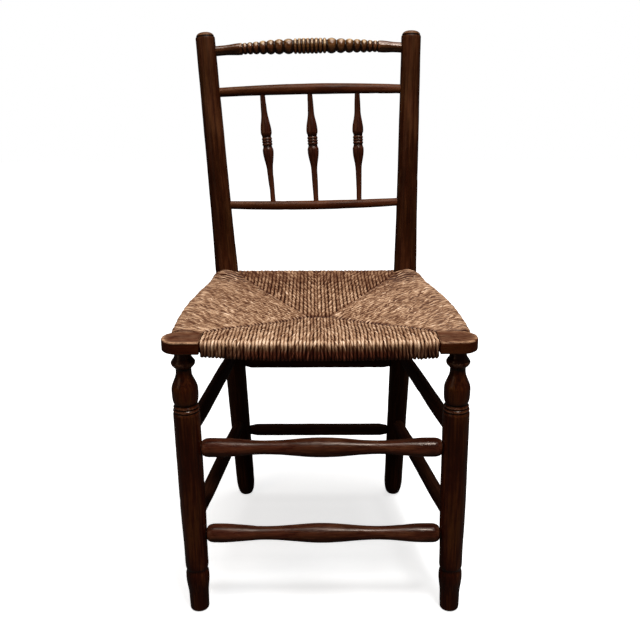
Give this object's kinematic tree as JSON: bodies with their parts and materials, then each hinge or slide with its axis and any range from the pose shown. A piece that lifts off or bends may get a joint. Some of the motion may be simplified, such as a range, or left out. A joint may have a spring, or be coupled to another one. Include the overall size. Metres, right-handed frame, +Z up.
{
  "type": "rush-seated side chair",
  "caption": "Side chair in dark stained turned wood: bobbin-turned crest rail, three small spindles, worn rush seat with rounded front corners, and double stretchers all round.",
  "frame": {"origin": "On the floor, in the middle of the chair's outline seen from above", "axes": "+X to the right of someone who faces the front of the chair, +Y to the back of the chair, +Z up; the sitter faces -Y"},
  "size_m": [0.435, 0.446, 0.8505],
  "materials": {
    "post_wood": "satin",
    "leg_wood": "satin",
    "seat_frame_wood": "satin",
    "rush": "matte",
    "crest_wood": "satin",
    "rail_wood": "satin",
    "spindle_wood": "satin",
    "front_stretcher_wood": "satin",
    "stretcher_wood": "satin"
  },
  "bodies": {
    "root": {"back_post_left": "post_wood", "back_post_right": "post_wood", "front_leg_left": "leg_wood", "front_leg_right": "leg_wood", "front_seat_rail": "seat_frame_wood", "side_seat_rail_left": "seat_frame_wood", "side_seat_rail_right": "seat_frame_wood", "back_seat_rail": "seat_frame_wood", "rush_seat": "rush", "crest_rail": "crest_wood", "middle_rail": "rail_wood", "lower_rail": "rail_wood", "spindle_left": "spindle_wood", "spindle_centre": "spindle_wood", "spindle_right": "spindle_wood", "front_stretcher_upper": "front_stretcher_wood", "front_stretcher_lower": "front_stretcher_wood", "side_stretcher_upper_left": "stretcher_wood", "side_stretcher_upper_right": "stretcher_wood", "side_stretcher_lower_left": "stretcher_wood", "side_stretcher_lower_right": "stretcher_wood", "back_stretcher_upper": "stretcher_wood", "back_stretcher_lower": "stretcher_wood"}
  },
  "joints": []
}
